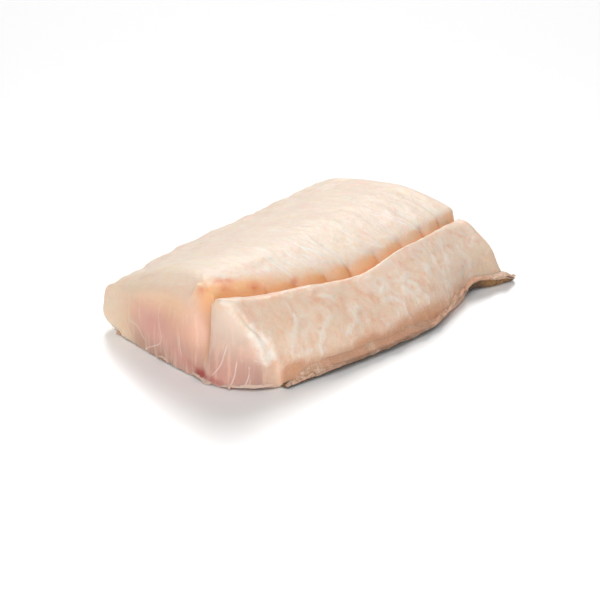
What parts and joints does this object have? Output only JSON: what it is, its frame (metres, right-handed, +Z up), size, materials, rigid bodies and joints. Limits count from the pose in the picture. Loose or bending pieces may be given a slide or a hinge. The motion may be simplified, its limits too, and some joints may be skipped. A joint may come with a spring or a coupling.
{
  "type": "halibut fillet",
  "caption": "Raw white fish fillet portion, thick loin with a groove between its two muscles, cut square at both ends and lying on its skin.",
  "frame": {"origin": "centre of the fillet's footprint, on the surface that it lies on", "axes": "+X along the grain from the near cut to the far cut, +Y towards the thin outer edge of the main muscle, +Z up"},
  "size_m": [0.1374, 0.095, 0.0344],
  "materials": {
    "fish_flesh": "moist translucent raw fish flesh",
    "fish_skin": "moist brown fish skin with a tan rim"
  },
  "bodies": {
    "root": {"flesh": "fish_flesh", "skin": "fish_skin"}
  },
  "joints": []
}
